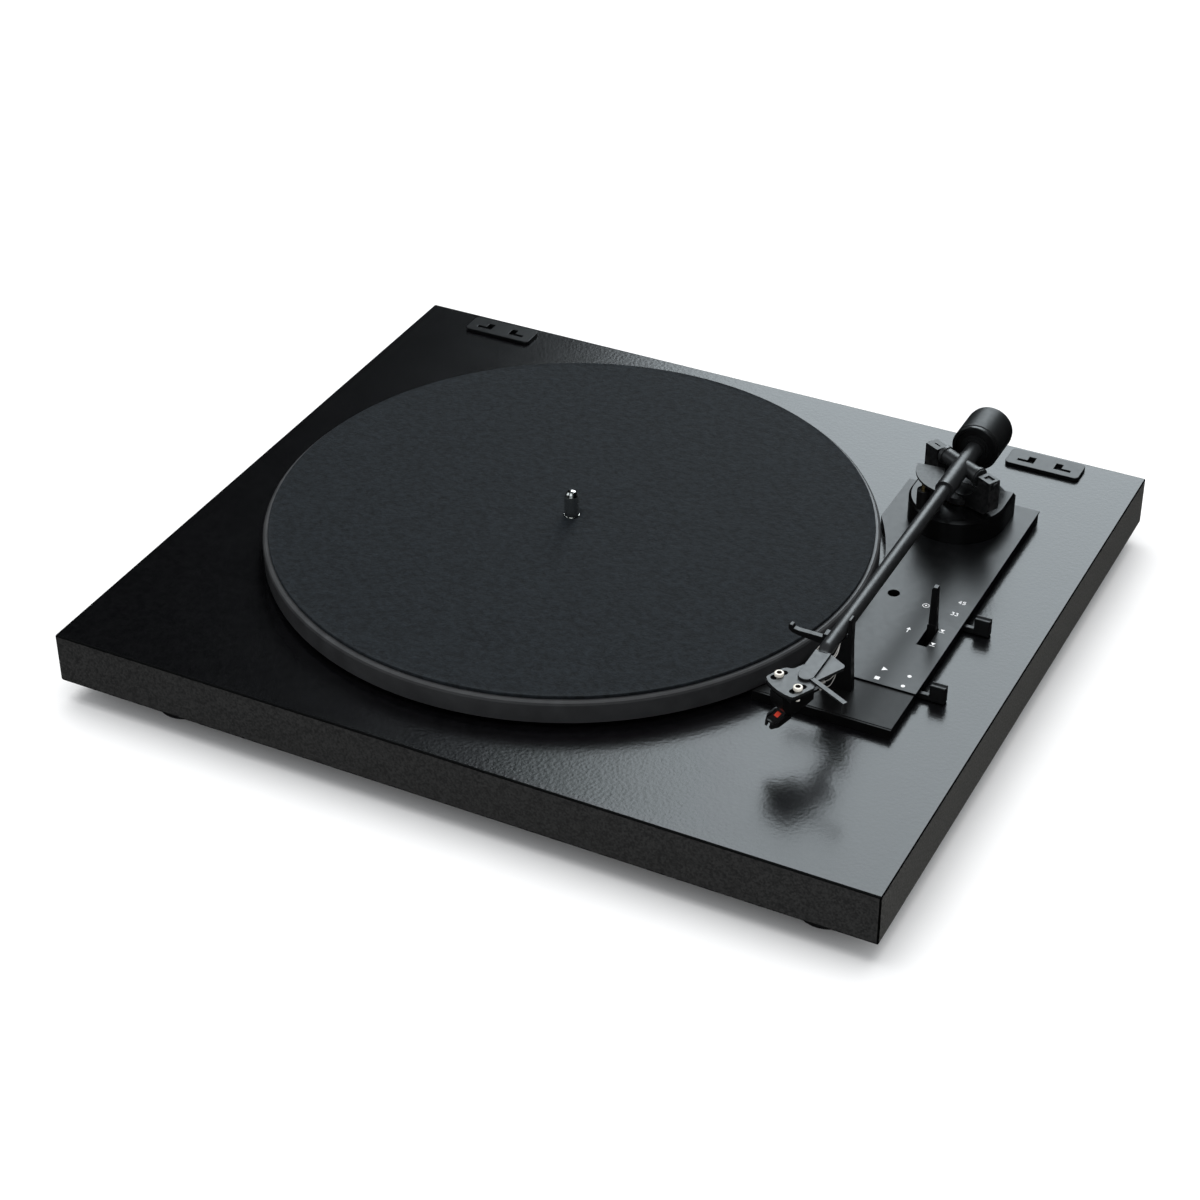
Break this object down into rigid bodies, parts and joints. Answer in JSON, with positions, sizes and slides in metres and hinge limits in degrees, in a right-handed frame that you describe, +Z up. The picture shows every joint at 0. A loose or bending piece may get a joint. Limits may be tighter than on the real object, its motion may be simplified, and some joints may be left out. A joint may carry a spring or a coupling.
{
  "type": "record player",
  "caption": "Belt-drive record player: low black plinth, aluminium platter with felt mat, straight gimbal arm with cue lever, and sliding start and speed knobs.",
  "frame": {"origin": "on the floor under the middle of the plinth", "axes": "+X to the user's right, +Y to the back, +Z up; the arm lies along -Y at rest"},
  "size_m": [0.414, 0.357, 0.0863],
  "materials": {
    "plinth_foil": "fibreboard under a semi-gloss black grained foil",
    "case_plastic": "matt moulded",
    "black_plastic": "fine satin moulded",
    "mechanism_plastic": "natural moulded",
    "control_paint": "satin charcoal paint",
    "arm_paint": "satin black paint",
    "platter_metal": "satin turned",
    "tube_metal": "satin black anodised",
    "weight_metal": "satin black painted steel",
    "bright_steel": "polished",
    "zinc_steel": "zinc plated",
    "brass": "turned",
    "felt": "pressed felt",
    "belt_rubber": "ground rubber",
    "board_green": "solder-masked board",
    "lead_wire": "fine insulated wire"
  },
  "bodies": {
    "base": {"plinth": "plinth_foil", "bottom_cover": "case_plastic", "case_screws": "zinc_steel", "foot_front_left": "case_plastic", "foot_front_right": "case_plastic", "foot_back_left": "case_plastic", "foot_back_right": "case_plastic", "foot_screws": "zinc_steel", "chassis_plate": "zinc_steel", "bearing_housing": "brass", "motor_can": "zinc_steel", "motor_bracket": "zinc_steel", "motor_screws": "zinc_steel", "drive_belt": "belt_rubber", "cam_post": "zinc_steel", "control_base": "control_paint", "control_panel": "control_paint", "arm_base": "arm_paint", "arm_bush": "brass", "lift_guide": "black_plastic", "arm_rest": "black_plastic", "hinge_bracket_left": "control_paint", "hinge_bracket_right": "control_paint", "circuit_board": "board_green", "start_switch": "black_plastic", "speed_switch": "black_plastic", "terminal_plate": "case_plastic", "phono_socket_left": "brass", "phono_socket_right": "brass", "ground_post": "brass", "power_inlet": "black_plastic", "cue_bracket": "zinc_steel"},
    "platter_unit": {"platter": "platter_metal", "felt_mat": "felt", "spindle": "bright_steel", "hub_pinion": "mechanism_plastic"},
    "pulley_unit": {"motor_pulley": "brass", "motor_shaft": "bright_steel"},
    "cam_unit": {"cam_gear": "mechanism_plastic"},
    "arm_turret": {"yoke": "arm_paint", "yaw_shaft": "zinc_steel", "arm_drive_lever": "zinc_steel", "pivot_screws": "arm_paint"},
    "arm": {"pivot_block": "tube_metal", "arm_tube": "tube_metal", "sector_plate": "arm_paint", "headshell": "tube_metal", "cartridge_body": "black_plastic", "cartridge_screws": "bright_steel", "stylus_unit": "black_plastic", "cartridge_leads": "lead_wire"},
    "guard": {"stylus_guard": "black_plastic"},
    "weight_slide": {"weight_collar": "weight_metal"},
    "weight": {"counterweight": "weight_metal"},
    "dial": {"dial_ring": "black_plastic"},
    "cue": {"cue_lever": "black_plastic"},
    "cue_transfer": {"cue_link": "mechanism_plastic"},
    "lift": {"lift_rod": "brass"},
    "start_stop": {"start_knob": "black_plastic"},
    "speed": {"speed_knob": "black_plastic"}
  },
  "joints": [
    {"name": "platter_spin", "type": "hinge", "parent": "base", "child": "platter_unit", "pos_m": [-0.027, -0.001, 0.038], "axis": [0, 0, 1], "continuous": true},
    {"name": "pulley_spin", "type": "hinge", "parent": "base", "child": "pulley_unit", "pos_m": [-0.11875, -0.06524, 0.038], "axis": [0, 0, 1], "continuous": true},
    {"name": "cam_turn", "type": "hinge", "parent": "base", "child": "cam_unit", "pos_m": [0.0111, 0.0209, 0.038], "axis": [0, 0, 1], "range_deg": [-8, 8]},
    {"name": "arm_swing", "type": "hinge", "parent": "base", "child": "arm_turret", "pos_m": [0.1377, 0.093, 0.0745], "axis": [0, 0, -1], "range_deg": [0, 43]},
    {"name": "arm_lift", "type": "hinge", "parent": "arm_turret", "child": "arm", "pos_m": [0.1377, 0.093, 0.0745], "axis": [-0.878, 0.4787, 0], "range_deg": [0, 10]},
    {"name": "guard_slide", "type": "slide", "parent": "arm", "child": "guard", "axis": [-0.454, -0.891, 0], "range_m": [0, 0.015]},
    {"name": "weight_travel", "type": "slide", "parent": "arm", "child": "weight_slide", "axis": [0, 1, 0], "range_m": [0, 0.003]},
    {"name": "weight_turn", "type": "hinge", "parent": "weight_slide", "child": "weight", "pos_m": [0.1377, 0.093, 0.0745], "axis": [0, 1, 0], "range_deg": [0, 720]},
    {"name": "dial_turn", "type": "hinge", "parent": "weight", "child": "dial", "pos_m": [0.1377, 0.093, 0.0745], "axis": [0, 1, 0], "range_deg": [-180, 180]},
    {"name": "cue_tip", "type": "hinge", "parent": "base", "child": "cue", "pos_m": [0.1603, 0.0005, 0.0238], "axis": [1, 0, 0], "range_deg": [0, 28]},
    {"name": "cue_link_slide", "type": "slide", "parent": "base", "child": "cue_transfer", "axis": [0, 1, 0], "range_m": [0, 0.0031]},
    {"name": "lift_slide", "type": "slide", "parent": "base", "child": "lift", "axis": [0, 0, 1], "range_m": [-0.0021, 0]},
    {"name": "start_slide", "type": "slide", "parent": "base", "child": "start_stop", "axis": [0, 1, 0], "range_m": [-0.004, 0.004], "stiffness_N_per_m": 600},
    {"name": "speed_slide", "type": "slide", "parent": "base", "child": "speed", "axis": [0, 1, 0], "range_m": [0, 0.01]}
  ],
  "couplings": [
    {"joint": "pulley_spin", "follows": "platter_spin", "ratio": 12.167},
    {"joint": "weight_turn", "follows": "weight_travel", "rad_per_m": 4166.7},
    {"joint": "cue_tip", "follows": "cue_link_slide", "rad_per_m": 157.48},
    {"joint": "lift_slide", "follows": "cue_link_slide", "ratio": -0.64567}
  ]
}
